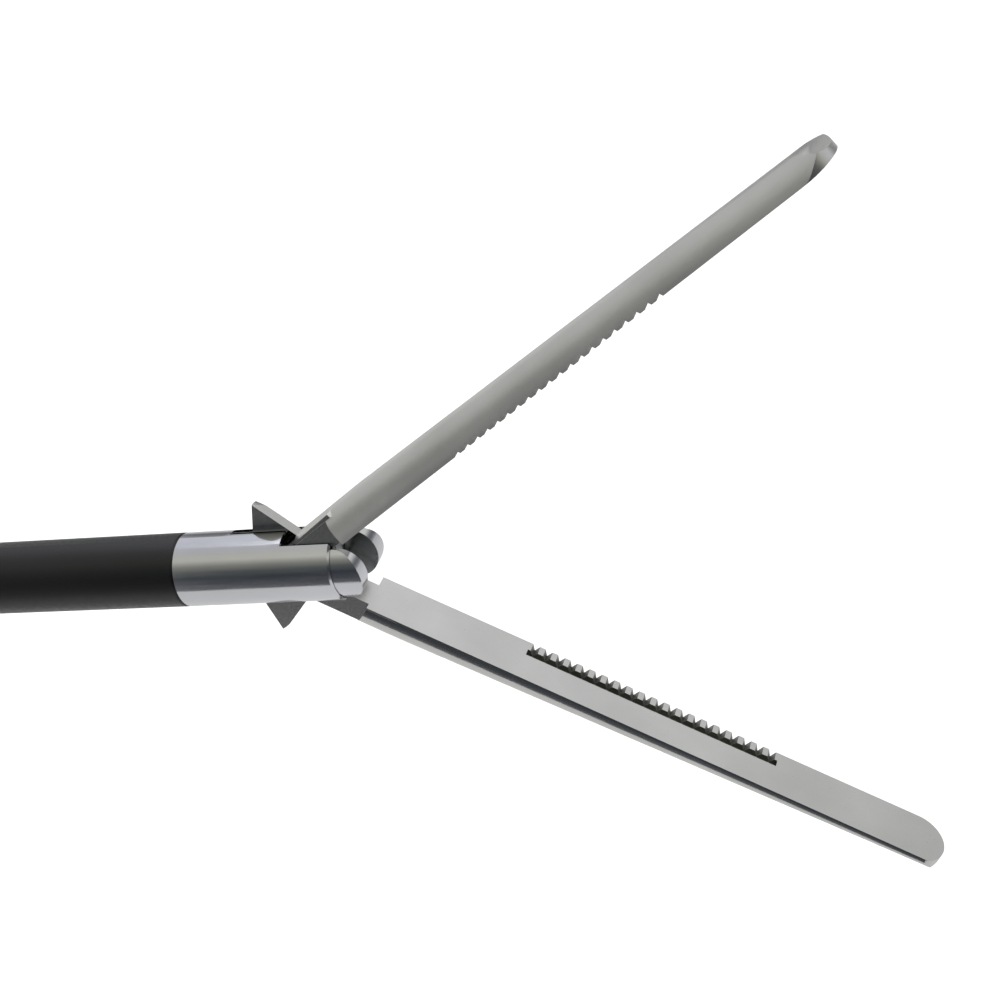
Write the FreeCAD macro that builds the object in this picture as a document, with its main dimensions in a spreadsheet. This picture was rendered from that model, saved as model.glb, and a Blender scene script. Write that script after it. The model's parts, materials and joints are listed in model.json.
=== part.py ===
"""Laparoscopic grasper: 5 mm shaft, double-action jaws with toothed edges, ring handle.

Frame: X runs along the shaft towards the jaws, Z is up in the plane in which the jaws open,
Y is the axis of every hinge pin. The origin is on the shaft's axis at the mouth of the sleeve.
The jaws are drawn closed about their pin and then placed open.
"""
import FreeCAD
import Part
import math
import os
import re

import Sketcher

V = FreeCAD.Vector

# Driving dimensions in millimetres and degrees. Each becomes a named cell of the sheet.
SIZES = {
    # whole instrument
    "working_length": 330.0,
    "running_fit": 0.03,
    "seat_fit": 0.02,
    # shaft, from outside to inside
    "insulation_radius": 2.5,
    "insulation_wall": 0.28,
    "tube_wall": 0.45,
    "edge_break": 0.12,
    # sleeve and fork
    "sleeve_radius": 2.5,
    "sleeve_wall": 0.22,
    "sleeve_taper": 0.03,
    "sleeve_length": 11.5,
    "sleeve_overlap": 1.5,
    "spigot_length": 4.5,
    "pin_setback": 2.7,
    "ear_reach": 4.7,
    "ear_half_height": 1.85,
    "ear_play": 0.15,
    "side_play": 0.04,
    "rod_bore_play": 0.1,
    "slot_back_play": 0.25,
    # jaws
    "open_angle": 32.5,
    "jaw_length": 45.7,
    "jaw_half_width": 2.0,
    "jaw_heel": 1.25,
    "heel_depth": 2.0,
    "knee_reach": 7.5,
    "knee_depth": 2.05,
    "tip_depth": 1.3,
    "tip_rise": 0.75,
    "tip_sweep": 2.4,
    "face_gap": 0.05,
    "turned_radius": 2.5,
    "hub_radius": 1.85,
    "plate_thickness": 0.8,
    "plate_gap": 0.5,
    "boss_radius": 0.8,
    "tail_reach": 4.75,
    "tail_top": 2.45,
    "tail_waist": 1.6,
    "tail_heel_back": 3.75,
    "tail_heel_low": 0.9,
    "tail_belly_back": 2.9,
    "tail_belly_low": 1.75,
    # teeth along one edge of each gripping face
    "tooth_start": 15.6,
    "tooth_pitch": 0.9,
    "tooth_count": 20,
    "tooth_depth": 0.4,
    "groove_depth": 0.4,
    "groove_inner": 0.7,
    "groove_outer": 1.25,
    # drive
    "pivot_pin_radius": 0.5,
    "drive_pin_radius": 0.35,
    "drive_reach": 1.65,
    "rod_travel": 1.5,
    "rod_radius": 0.8,
    "tongue_nose": 0.6,
    "tongue_height": 2.3,
    "tongue_length": 7.0,
    "socket_length": 5.0,
    "socket_radius": 1.2,
    # port collar and luer port
    "collar_length": 14.0,
    "collar_radius": 4.4,
    "port_height": 12.5,
    "port_radius": 2.75,
    "luer_mouth_radius": 2.14,
    "luer_throat_radius": 1.93,
    "luer_depth": 7.5,
    "duct_radius": 0.8,
    "lug_span": 3.9,
    "lug_width": 2.6,
    "lug_height": 1.0,
    # knob and spindle
    "knob_length": 17.0,
    "knob_radius": 10.5,
    "knob_neck_radius": 7.0,
    "knob_play": 0.3,
    "flute_radius": 2.6,
    "flute_count": 8,
    "spindle_radius": 3.5,
    "tube_seat_length": 7.0,
    "flange_radius": 5.0,
    "flange_thickness": 2.0,
    "flange_play": 0.15,
    "gland_length": 5.0,
    "seal_radius": 2.2,
    "seal_length": 1.6,
    "nut_length": 2.2,
    "nut_radius": 3.0,
    "grub_radius": 1.25,
    "grub_length": 4.5,
    # handle shells
    "nose_wall": 4.0,
    "shell_half_width": 7.5,
    "grip_half_width": 5.0,
    "housing_top": 10.0,
    "housing_length": 46.0,
    "housing_drop": 17.0,
    "stalk_half_width": 4.5,
    "finger_ring_back": 10.5,
    "finger_ring_drop": 78.0,
    "hole_half_width": 10.5,
    "hole_half_height": 13.5,
    "ring_wall": 4.5,
    "soft_edge": 1.8,
    "screw_radius": 1.25,
    "screw_head_radius": 2.2,
    "screw_head_height": 1.8,
    "screw_length": 9.0,
    # lever
    "lever_arm": 5.5,
    "lever_length": 75.0,
    "lever_lean": 27.5,
    "lever_half_width": 4.0,
    "head_half_length": 4.6,
    "head_crown": 3.2,
    "axle_radius": 1.6,
    "axle_half_length": 6.5,
    "bush_radius": 2.1,
    "bush_flange_radius": 3.4,
    "bush_flange": 0.22,
    "cavity_play": 0.1,
    "ball_radius": 2.2,
    "ball_flat": 0.6,
    "ball_play": 0.08,
    "ball_clear": 7.5,
    "seat_half_length": 3.3,
    "seat_half_width": 3.0,
    "seat_floor": 0.5,
    "rod_slot_half": 1.15,
    "rod_slot_drop": 1.7,
    # connector for the monopolar lead
    "post_back": 34.0,
    "post_radius": 2.0,
    "post_height": 12.0,
    "post_collar_radius": 3.4,
    "post_collar_height": 1.6,
    "post_shank_radius": 1.5,
    "post_stud_radius": 0.9,
    "insulator_radius": 4.2,
    "insulator_height": 2.0,
    "leaf_thickness": 0.3,
    "leaf_half_width": 1.8,
}

doc = FreeCAD.newDocument("LaparoscopicGrasper")
sheet = doc.addObject("Spreadsheet::Sheet", "Sizes")
for row, (alias, value) in enumerate(SIZES.items(), start=1):
    sheet.set(f"A{row}", alias)
    sheet.set(f"B{row}", str(value))
    sheet.setAlias(f"B{row}", alias)
doc.recompute()

ALIAS = re.compile(r"\b[a-z]+(?:_[a-z]+)+\b")


def bind(text):
    """An expression in the sheet's own names, as the document reads it."""
    return ALIAS.sub(lambda found: "Sizes." + found.group(0), text)


def size(text):
    """The present value of such an expression, in millimetres or degrees."""
    return float(sheet.evalExpression(bind(text).replace("Sizes.", "")))


# Places along the shaft, as expressions of the driving dimensions.
PIVOT = "(0 - pin_setback)"
TUBE_RADIUS = "(insulation_radius - insulation_wall - seat_fit)"
TUBE_BORE = f"({TUBE_RADIUS} - tube_wall)"
FORK_RADIUS = "(sleeve_radius - sleeve_wall - seat_fit)"
TUBE_FRONT = "(sleeve_overlap - sleeve_length)"
PLATE_OUTER = "(plate_gap / 2 + plate_thickness)"
FORK_SLOT = f"({PLATE_OUTER} + side_play)"
SLOT_BACK = "(0 - pin_setback - tail_reach - slot_back_play)"
DRIVE_PIN = "(0 - pin_setback - drive_reach)"
ROD_BORE = "(socket_radius + rod_bore_play)"
TONGUE_FRONT = f"({DRIVE_PIN} + tongue_nose)"
TONGUE_BACK = f"({TONGUE_FRONT} - tongue_length)"
SOCKET_BACK = f"({TONGUE_BACK} - socket_length)"
COLLAR_FRONT = "(jaw_length - pin_setback - working_length)"
COLLAR_BACK = f"({COLLAR_FRONT} - collar_length)"
PORT = f"({COLLAR_FRONT} - collar_length / 2)"
KNOB_FRONT = f"({COLLAR_BACK} - knob_play)"
KNOB_BACK = f"({KNOB_FRONT} - knob_length)"
NOSE = f"({KNOB_BACK} - knob_play)"
FLANGE_FRONT = f"({NOSE} - nose_wall - flange_play)"
FLANGE_BACK = f"({FLANGE_FRONT} - flange_thickness)"
SPINDLE_BACK = f"({FLANGE_BACK} - gland_length)"
NUT_BACK = f"({SPINDLE_BACK} - nut_length)"
BALL = f"({NUT_BACK} - ball_clear)"
AXLE_X = f"({BALL} - rod_travel / 2)"
AXLE_Z = "(0 - lever_arm)"
RING_X = f"({NOSE} - finger_ring_back)"
RING_Z = "(0 - finger_ring_drop)"
CAVITY = "(lever_half_width + bush_flange + cavity_play)"
POST_X = f"({NOSE} - post_back)"
INSULATOR_TOP = "(housing_top + insulator_height)"
LEAF_TOP = "(housing_top / 2 + leaf_thickness)"


def body(name):
    made = doc.addObject("PartDesign::Body", name)
    made.Label = name
    return made


def sketch(owner, name, plane, offset="0"):
    """A sketch on one of the body's own origin planes, moved along the plane's normal."""
    made = owner.newObject("Sketcher::SketchObject", f"{owner.Name}_{name}")
    base = [f for f in owner.Origin.OriginFeatures if f.Role == plane][0]
    made.AttachmentSupport = [(base, "")]
    made.MapMode = "FlatFace"
    made.setExpression("AttachmentOffset.Base.z", bind(offset))
    return made


def fix(drawing, geo, pos, x=None, y=None):
    """Ties a point of the sketch to expressions for its two coordinates."""
    for kind, text in (("DistanceX", x), ("DistanceY", y)):
        if text is not None:
            number = drawing.addConstraint(Sketcher.Constraint(kind, -1, 1, geo, pos, size(text)))
            drawing.setExpression(f"Constraints[{number}]", bind(text))


def circle(drawing, radius, x="0", y="0"):
    centre = V(size(x), size(y), 0)
    geo = drawing.addGeometry(Part.Circle(centre, V(0, 0, 1), size(radius)))
    fix(drawing, geo, 3, x, y)
    number = drawing.addConstraint(Sketcher.Constraint("Radius", geo, size(radius)))
    drawing.setExpression(f"Constraints[{number}]", bind(radius))


def arc_centre(start, end, known, value):
    """The centre of an arc whose ends and one centre coordinate are known."""
    dx = end.x - start.x
    dy = end.y - start.y
    middle = (start + end) * 0.5
    if known == "x":
        return V(value, middle.y - (value - middle.x) * dx / dy, 0)
    return V(middle.x - (value - middle.y) * dy / dx, value, 0)


def outline(drawing, path):
    """A closed outline. Each step is (x, y) for a straight line to that corner, or
    (x, y, turn, "x" or "y", value) for an arc whose centre has that coordinate."""
    corners = [V(size(step[0]), size(step[1]), 0) for step in path]
    ends = []
    for number, step in enumerate(path):
        start = corners[number - 1]
        end = corners[number]
        if len(step) == 2:
            geo = drawing.addGeometry(Part.LineSegment(start, end))
            ends.append((geo, 1, 2))
            continue
        turn, known, value = step[2:]
        centre = arc_centre(start, end, known, size(value))
        ring = Part.Circle(centre, V(0, 0, 1), start.distanceToPoint(centre))
        first = math.atan2(start.y - centre.y, start.x - centre.x)
        last = math.atan2(end.y - centre.y, end.x - centre.x)
        if turn == "left":
            geo = drawing.addGeometry(Part.ArcOfCircle(ring, first, last))
            ends.append((geo, 1, 2))
        else:
            geo = drawing.addGeometry(Part.ArcOfCircle(ring, last, first))
            ends.append((geo, 2, 1))
        fix(drawing, geo, 3, **{known: value})
    for number, (geo, _, end_pos) in enumerate(ends):
        following = ends[(number + 1) % len(ends)]
        drawing.addConstraint(Sketcher.Constraint("Coincident", geo, end_pos, following[0], following[1]))
        fix(drawing, geo, end_pos, path[number][0], path[number][1])


def rectangle(drawing, left, right, low, high):
    outline(drawing, [(left, low), (right, low), (right, high), (left, high)])


def feature(owner, kind, name, profile, length=None, both=False, through=False, back=False):
    """A pad, pocket, revolution or groove of one sketch, with its side and reach."""
    made = owner.newObject(f"PartDesign::{kind}", f"{owner.Name}_{name}")
    made.Profile = profile
    if kind in ("Revolution", "Groove"):
        made.ReferenceAxis = (profile, ["H_Axis"])
        made.Angle = 360.0
    elif through:
        made.Type = "ThroughAll"
    else:
        made.setExpression("Length", bind(length))
    if both:
        made.SideType = "Symmetric"
    made.Reversed = back
    doc.recompute()
    return made


def pick(shape, test):
    """The names of the edges that pass the test."""
    return [f"Edge{n}" for n, edge in enumerate(shape.Edges, start=1) if test(edge)]


def dress(owner, kind, name, amount, test):
    """A fillet or chamfer on the edges that pass the test."""
    base = owner.Tip
    made = owner.newObject(f"PartDesign::{kind}", f"{owner.Name}_{name}")
    made.Base = (base, pick(base.Shape, test))
    made.setExpression("Radius" if kind == "Fillet" else "Size", bind(amount))
    doc.recompute()
    return made


def flat_at(edge, axis, place, slack=1e-3):
    """True where the whole edge lies in the plane axis = place."""
    box = edge.BoundBox
    low = getattr(box, axis + "Min")
    high = getattr(box, axis + "Max")
    return abs(low - place) < slack and abs(high - place) < slack


def turned(name, profile):
    """A body turned about the X axis from a half profile of (x, radius) corners."""
    made = body(name)
    drawing = sketch(made, "profile", "XZ_Plane")
    outline(drawing, profile)
    feature(made, "Revolution", "turn", drawing)
    return made


def tube(name, front, rear, outer, inner):
    return turned(name, [(rear, inner), (front, inner), (front, outer), (rear, outer)])


# The jaws.


def jaw_section(owner, name, reach, depth):
    """Half-round section: flat gripping face on top, one arc as the back."""
    drawing = sketch(owner, name, "YZ_Plane", reach)
    wall = f"({depth} - face_gap)"
    centre = f"((jaw_half_width ^ 2 - {wall} ^ 2) / (2 * {wall}) - face_gap)"
    outline(drawing, [
        ("0 - jaw_half_width", "0 - face_gap", "right", "y", centre),
        ("jaw_half_width", "0 - face_gap"),
    ])
    return drawing


def make_jaw(name):
    """The lower jaw, closed, about its pin: blade, hub plate, tail, teeth and grooves."""
    made = body(name + "_blank")
    heel = jaw_section(made, "heel", "jaw_heel", "heel_depth")
    knee = jaw_section(made, "knee", "knee_reach", "knee_depth")
    tip = jaw_section(made, "tip", "jaw_length", "tip_depth")
    blade = made.newObject("PartDesign::AdditiveLoft", f"{name}_blade")
    blade.Profile = heel
    blade.Sections = [knee, tip]
    blade.Ruled = True
    doc.recompute()

    # nose of the blade, round from above and swept up from below
    drawing = sketch(made, "nose", "XY_Plane")
    start = "(jaw_length - jaw_half_width)"
    outline(drawing, [
        (start, "0 - jaw_half_width"),
        (start, "jaw_half_width", "left", "x", start),
        (start, "jaw_half_width + 1"),
        ("jaw_length + 1", "jaw_half_width + 1"),
        ("jaw_length + 1", "0 - jaw_half_width - 1"),
        (start, "0 - jaw_half_width - 1"),
    ])
    feature(made, "Pocket", "nose_cut", drawing, both=True, through=True)
    drawing = sketch(made, "sweep", "XZ_Plane")
    low = "(0 - tip_depth - tip_sweep * (knee_depth - tip_depth) / (jaw_length - knee_reach))"
    outline(drawing, [
        ("jaw_length - tip_sweep", low),
        ("jaw_length", "tip_rise - tip_depth", "left", "x", "jaw_length - tip_sweep"),
        ("jaw_length + 1", "tip_rise - tip_depth"),
        ("jaw_length + 1", "0 - 2 * tip_depth"),
        ("jaw_length - tip_sweep", "0 - 2 * tip_depth"),
    ])
    feature(made, "Pocket", "sweep_cut", drawing, both=True, through=True)

    # the heel clears the other jaw's hub in the middle and the fork's ears outside
    drawing = sketch(made, "hub_relief", "XZ_Plane")
    circle(drawing, "hub_radius + ear_play")
    feature(made, "Pocket", "hub_relief_cut", drawing, both=True, through=True)
    for side, plane_offset in (("near", f"{FORK_SLOT} - side_play / 2"), ("far", f"0 - {FORK_SLOT} + side_play / 2")):
        drawing = sketch(made, f"ear_relief_{side}", "XZ_Plane", plane_offset)
        circle(drawing, "ear_reach + ear_play")
        feature(made, "Pocket", f"ear_relief_cut_{side}", drawing, "jaw_half_width", back=(side == "near"))

    # hub plate and tail, on the far side of the jaw as the viewer sees it
    drawing = sketch(made, "plate", "XZ_Plane", "0 - plate_gap / 2")
    neck = "(ear_reach + 2 * ear_play)"
    outline(drawing, [
        ("0", "hub_radius"),
        ("hub_radius", "0 - face_gap", "right", "x", "0"),
        (neck, "0 - face_gap"),
        (neck, "0 - heel_depth"),
        ("0", "0 - hub_radius"),
        ("0 - tail_belly_back", "0 - tail_belly_low"),
        ("0 - tail_heel_back", "0 - tail_heel_low"),
        ("0 - tail_reach", "tail_top"),
        ("0 - 2 * pivot_pin_radius", "tail_waist"),
    ])
    feature(made, "Pad", "plate_pad", drawing, "plate_thickness", back=True)
    drawing = sketch(made, "boss", "XZ_Plane", "0 - side_play")
    circle(drawing, "boss_radius")
    feature(made, "Pad", "boss_pad", drawing, "plate_gap / 2", back=True)
    drawing = sketch(made, "pin_hole", "XZ_Plane")
    circle(drawing, "pivot_pin_radius + running_fit")
    feature(made, "Pocket", "pin_hole_cut", drawing, both=True, through=True)

    # teeth: a groove inside one edge of the gripping face, and notches across the rail left
    drawing = sketch(made, "groove", "XY_Plane", "0 - face_gap")
    first = "tooth_start"
    last = "tooth_start + tooth_pitch * tooth_count"
    rectangle(drawing, first, last, "groove_inner", "groove_outer")
    feature(made, "Pocket", "groove_cut", drawing, "groove_depth")
    drawing = sketch(made, "notch", "XZ_Plane", "0 - groove_outer + seat_fit")
    outline(drawing, [
        ("tooth_start + tooth_pitch * 0.2", "0 - face_gap + seat_fit"),
        ("tooth_start + tooth_pitch * 0.5", "0 - face_gap - tooth_depth"),
        ("tooth_start + tooth_pitch * 0.8", "0 - face_gap + seat_fit"),
    ])
    notch = feature(made, "Pocket", "notch_cut", drawing, "jaw_half_width", back=False)
    row_of = made.newObject("PartDesign::LinearPattern", f"{name}_teeth")
    row_of.Originals = [notch]
    row_of.Direction = (drawing, ["H_Axis"])
    row_of.setExpression("Length", bind("tooth_pitch * (tooth_count - 1)"))
    row_of.setExpression("Occurrences", bind("tooth_count"))
    made.Tip = row_of
    doc.recompute()

    # the whole jaw is turned to the bore of a five millimetre port when closed
    drawing = sketch(made, "turning", "YZ_Plane")
    circle(drawing, "turned_radius")
    circle(drawing, "turned_radius * 3")
    feature(made, "Pocket", "turning_cut", drawing, both=True, through=True)
    return made


def cam_tool(name):
    """The cam slot, as the path of the drive pin seen from the turning jaw. Equal steps of
    the rod turn the jaw by equal angles, so the path is a spiral, close to one arc."""
    opening = math.radians(size("open_angle"))
    reach = size("drive_reach")
    travel = size("rod_travel")
    half = size("drive_pin_radius + running_fit")
    points = []
    for share in (0.0, 0.5, 1.0):
        radius = reach + travel * share
        left = opening * (1.0 - share)
        points.append(V(-radius * math.cos(left), 0, -radius * math.sin(left)))
    ring = Part.Arc(*points).toShape().Curve
    centre = ring.Center
    edges = []

    def on(point, grow):
        out = (point - centre).normalize()
        return centre + out * (ring.Radius + grow)

    def cap(point, way):
        out = (point - centre).normalize()
        along = V(0, 1, 0).cross(out) * way
        return point + along * half

    first, middle, last = points
    way = 1.0 if V(0, 1, 0).cross(first - centre).dot(last - first) < 0 else -1.0
    edges.append(Part.Arc(on(first, half), on(middle, half), on(last, half)).toShape())
    edges.append(Part.Arc(on(last, half), cap(last, -way), on(last, -half)).toShape())
    edges.append(Part.Arc(on(last, -half), on(middle, -half), on(first, -half)).toShape())
    edges.append(Part.Arc(on(first, -half), cap(first, way), on(first, half)).toShape())
    face = Part.Face(Part.Wire(edges))
    width = size("turned_radius") * 2
    face.translate(V(0, -width / 2, 0))
    tool = doc.addObject("Part::Feature", name)
    tool.Shape = face.extrude(V(0, width, 0))
    return tool


def open_jaw(name, upper):
    blank = make_jaw(name)
    tool = cam_tool(name + "_cam_slot")
    cut = doc.addObject("Part::Cut", name)
    cut.Label = name
    cut.Base = blank
    cut.Tool = tool
    doc.recompute()
    opening = size("open_angle")
    swing = FreeCAD.Rotation(V(0, 1, 0), opening)
    if upper:
        swing = FreeCAD.Rotation(V(0, 1, 0), -opening).multiply(FreeCAD.Rotation(V(1, 0, 0), 180))
    cut.Placement = FreeCAD.Placement(V(size(PIVOT), 0, 0), swing)
    return cut


# The fork, its sleeve and the shaft.


def make_fork():
    spigot = f"({TUBE_BORE} - seat_fit)"
    back = f"({TUBE_FRONT} - spigot_length)"
    tip = "(ear_reach - pin_setback)"
    made = turned("jaw_fork", [
        (back, "0"),
        (tip, "0"),
        (tip, FORK_RADIUS),
        (TUBE_FRONT, FORK_RADIUS),
        (TUBE_FRONT, spigot),
        (back, spigot),
    ])
    drawing = sketch(made, "ears", "XZ_Plane")
    nose = "(ear_reach - ear_half_height - pin_setback)"
    outline(drawing, [
        ("0 - edge_break", "ear_half_height"),
        ("0 - edge_break", "2 * ear_reach"),
        ("2 * ear_reach", "2 * ear_reach"),
        ("2 * ear_reach", "0 - 2 * ear_reach"),
        ("0 - edge_break", "0 - 2 * ear_reach"),
        ("0 - edge_break", "0 - ear_half_height"),
        (nose, "0 - ear_half_height"),
        (nose, "ear_half_height", "left", "x", nose),
    ])
    feature(made, "Pocket", "ears_cut", drawing, both=True, through=True)
    drawing = sketch(made, "slot", "XY_Plane")
    rectangle(drawing, SLOT_BACK, "2 * ear_reach", f"0 - {FORK_SLOT}", FORK_SLOT)
    feature(made, "Pocket", "slot_cut", drawing, both=True, through=True)
    drawing = sketch(made, "rod_bore", "YZ_Plane", SLOT_BACK)
    circle(drawing, ROD_BORE)
    feature(made, "Pocket", "rod_bore_cut", drawing, through=True)
    drawing = sketch(made, "pin_hole", "XZ_Plane")
    circle(drawing, "pivot_pin_radius + seat_fit", PIVOT)
    feature(made, "Pocket", "pin_hole_cut", drawing, both=True, through=True)
    return made


def make_sleeve():
    bore = "(sleeve_radius - sleeve_wall)"
    made = turned("jaw_sleeve", [
        ("0 - sleeve_length", bore),
        ("0", bore),
        ("0", "sleeve_radius - sleeve_taper - edge_break"),
        ("0 - edge_break", "sleeve_radius - sleeve_taper"),
        ("edge_break - sleeve_length", "sleeve_radius"),
        ("0 - sleeve_length", "sleeve_radius - edge_break"),
    ])
    # both jaws' necks need the front of the slots, but each tail only its own side behind it
    drawing = sketch(made, "slots", "XY_Plane")
    rectangle(drawing, "(0 - pin_setback - hub_radius / 2)", "sleeve_radius",
              f"0 - {FORK_SLOT} - side_play", f"{FORK_SLOT} + side_play")
    feature(made, "Pocket", "slots_cut", drawing, both=True, through=True)
    drawing = sketch(made, "far_slot", "XY_Plane")
    rectangle(drawing, SLOT_BACK, "0 - pin_setback", "plate_gap / 2 - 2 * side_play", f"{FORK_SLOT} + side_play")
    feature(made, "Pocket", "far_slot_cut", drawing, through=True, back=True)
    drawing = sketch(made, "near_slot", "XY_Plane")
    rectangle(drawing, SLOT_BACK, "0 - pin_setback", f"0 - {FORK_SLOT} - side_play", "2 * side_play - plate_gap / 2")
    feature(made, "Pocket", "near_slot_cut", drawing, through=True)
    return made


def cross_pin(name, radius, half_length, x, z="0"):
    made = body(name)
    drawing = sketch(made, "section", "XZ_Plane")
    circle(drawing, radius, x, z)
    feature(made, "Pad", "pad", drawing, f"2 * {half_length}", both=True)
    return made


def make_shaft():
    tube_back = f"({COLLAR_BACK} - tube_seat_length)"
    steel = tube("shaft_tube", TUBE_FRONT, tube_back, TUBE_RADIUS, TUBE_BORE)
    drawing = sketch(steel, "duct", "XY_Plane")
    circle(drawing, "duct_radius", PORT)
    feature(steel, "Pocket", "duct_cut", drawing, through=True, back=True)
    cover = tube("shaft_insulation", "0 - sleeve_length", COLLAR_FRONT, "insulation_radius",
                 "insulation_radius - insulation_wall")
    dress(cover, "Chamfer", "edges", "edge_break",
          lambda e: e.Length > 2 * math.pi * size("insulation_radius - insulation_wall / 2")
          and flat_at(e, "X", -size("sleeve_length")))
    return steel, cover


def make_drive():
    tongue = body("rod_tongue")
    drawing = sketch(tongue, "blade", "XZ_Plane")
    outline(drawing, [
        (f"{TONGUE_FRONT} - tongue_height / 2", "0 - tongue_height / 2"),
        (f"{TONGUE_FRONT} - tongue_height / 2", "tongue_height / 2", "left", "x",
         f"{TONGUE_FRONT} - tongue_height / 2"),
        (TONGUE_BACK, "tongue_height / 2"),
        (TONGUE_BACK, "0 - tongue_height / 2"),
    ])
    feature(tongue, "Pad", "blade_pad", drawing, "plate_gap - 2 * running_fit", both=True)
    drawing = sketch(tongue, "socket", "YZ_Plane", SOCKET_BACK)
    circle(drawing, "socket_radius")
    feature(tongue, "Pad", "socket_pad", drawing, "socket_length")
    drawing = sketch(tongue, "rod_hole", "YZ_Plane", SOCKET_BACK)
    circle(drawing, "rod_radius + seat_fit")
    feature(tongue, "Pocket", "rod_hole_cut", drawing, "socket_length - 1", back=True)
    drawing = sketch(tongue, "pin_hole", "XZ_Plane")
    circle(drawing, "drive_pin_radius + seat_fit", DRIVE_PIN)
    feature(tongue, "Pocket", "pin_hole_cut", drawing, both=True, through=True)

    rod = body("drive_rod")
    drawing = sketch(rod, "section", "YZ_Plane", BALL)
    circle(drawing, "rod_radius")
    feature(rod, "Pad", "pad", drawing, f"{SOCKET_BACK} + socket_length - 1 - {BALL}")

    ball = body("rod_ball")
    drawing = sketch(ball, "half_disc", "XZ_Plane")
    hole = "(rod_radius + seat_fit)"
    outline(drawing, [
        (f"{BALL} - sqrt(ball_radius * ball_radius - ball_flat * ball_flat)", "0"),
        (f"{BALL} - sqrt(ball_radius * ball_radius - ball_flat * ball_flat)", "ball_flat"),
        (f"{BALL} + sqrt(ball_radius * ball_radius - {hole} * {hole})", hole, "right", "y", "0"),
        (BALL, hole),
        (BALL, "0"),
    ])
    feature(ball, "Revolution", "turn", drawing)
    return tongue, rod, ball


# The port collar, the spindle and the knob.


def make_collar():
    bore = f"({TUBE_RADIUS} + seat_fit)"
    shoulder = "(insulation_radius + 0.4)"
    made = turned("port_collar", [
        (COLLAR_BACK, bore),
        (COLLAR_FRONT, bore),
        (COLLAR_FRONT, shoulder),
        (f"{COLLAR_FRONT} - 3", "collar_radius"),
        (f"{COLLAR_BACK} + 1", "collar_radius"),
        (COLLAR_BACK, "collar_radius - 0.6"),
    ])
    root = f"({bore} + 0.6)"
    drawing = sketch(made, "boss", "XY_Plane", root)
    circle(drawing, "port_radius", PORT)
    feature(made, "Pad", "boss_pad", drawing, f"port_height - {root}")
    drawing = sketch(made, "lugs", "XY_Plane", "port_height - lug_height")
    rectangle(drawing, f"{PORT} - lug_width / 2", f"{PORT} + lug_width / 2", "0 - lug_span", "lug_span")
    feature(made, "Pad", "lugs_pad", drawing, "lug_height")
    drawing = sketch(made, "clear", "XY_Plane")
    circle(drawing, "duct_radius", PORT)
    feature(made, "Pocket", "duct_cut", drawing, through=True, back=True)
    taper = made.newObject("PartDesign::SubtractiveCone", "port_collar_luer")
    taper.setExpression("Radius1", bind("luer_throat_radius"))
    taper.setExpression("Radius2", bind("luer_mouth_radius"))
    taper.setExpression("Height", bind("luer_depth"))
    taper.AttachmentSupport = [([f for f in made.Origin.OriginFeatures if f.Role == "XY_Plane"][0], "")]
    taper.MapMode = "FlatFace"
    taper.setExpression("AttachmentOffset.Base.x", bind(PORT))
    taper.setExpression("AttachmentOffset.Base.z", bind("port_height - luer_depth"))
    doc.recompute()
    return made


def make_spindle():
    bore = f"({TUBE_RADIUS} + seat_fit)"
    seat = f"({COLLAR_BACK} - tube_seat_length)"
    way = "(rod_radius + rod_bore_play)"
    gland = f"({SPINDLE_BACK} + seal_length)"
    made = turned("knob_spindle", [
        (COLLAR_BACK, bore),
        (COLLAR_BACK, "spindle_radius"),
        (FLANGE_FRONT, "spindle_radius"),
        (FLANGE_FRONT, "flange_radius"),
        (FLANGE_BACK, "flange_radius"),
        (FLANGE_BACK, "spindle_radius"),
        (SPINDLE_BACK, "spindle_radius"),
        (SPINDLE_BACK, "seal_radius + seat_fit"),
        (gland, "seal_radius + seat_fit"),
        (gland, way),
        (seat, way),
        (seat, bore),
    ])
    seal = tube("rod_seal", gland, SPINDLE_BACK, "seal_radius", "rod_radius + running_fit")
    nut = turned("seal_nut", [
        (NUT_BACK, way),
        (SPINDLE_BACK, way),
        (SPINDLE_BACK, "nut_radius"),
        (f"{NUT_BACK} + 0.4", "nut_radius"),
        (NUT_BACK, "nut_radius - 0.4"),
    ])
    return made, seal, nut


def make_knob():
    bore = "(spindle_radius + seat_fit)"
    made = turned("rotation_knob", [
        (KNOB_BACK, bore),
        (KNOB_FRONT, bore),
        (KNOB_FRONT, "knob_neck_radius - 1"),
        (f"{KNOB_FRONT} - 1", "knob_neck_radius"),
        (f"{KNOB_FRONT} - 5", "knob_radius"),
        (f"{KNOB_BACK} + 2", "knob_radius"),
        (KNOB_BACK, "knob_radius - 2"),
    ])
    drawing = sketch(made, "flute", "YZ_Plane", KNOB_FRONT)
    circle(drawing, "flute_radius", "knob_radius + flute_radius / 2")
    flute = feature(made, "Pocket", "flute_cut", drawing, "knob_length")
    round_it = made.newObject("PartDesign::PolarPattern", "rotation_knob_flutes")
    round_it.Originals = [flute]
    round_it.Axis = (drawing, ["N_Axis"])
    round_it.Angle = 360.0
    round_it.setExpression("Occurrences", bind("flute_count"))
    made.Tip = round_it
    doc.recompute()
    drawing = sketch(made, "grub", "XY_Plane")
    middle = f"({KNOB_BACK} + knob_length / 2)"
    circle(drawing, "grub_radius + seat_fit", middle)
    feature(made, "Pocket", "grub_cut", drawing, through=True, back=True)
    screw = body("knob_grub_screw")
    drawing = sketch(screw, "section", "XY_Plane", bore)
    circle(drawing, "grub_radius", middle)
    feature(screw, "Pad", "pad", drawing, "grub_length")
    drawing = sketch(screw, "socket", "XY_Plane", f"{bore} + grub_length")
    circle(drawing, "grub_radius / 2", middle)
    feature(screw, "Pocket", "socket_cut", drawing, "grub_length / 3")
    return made, screw


# The handle shells, their screws and the axle.

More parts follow.
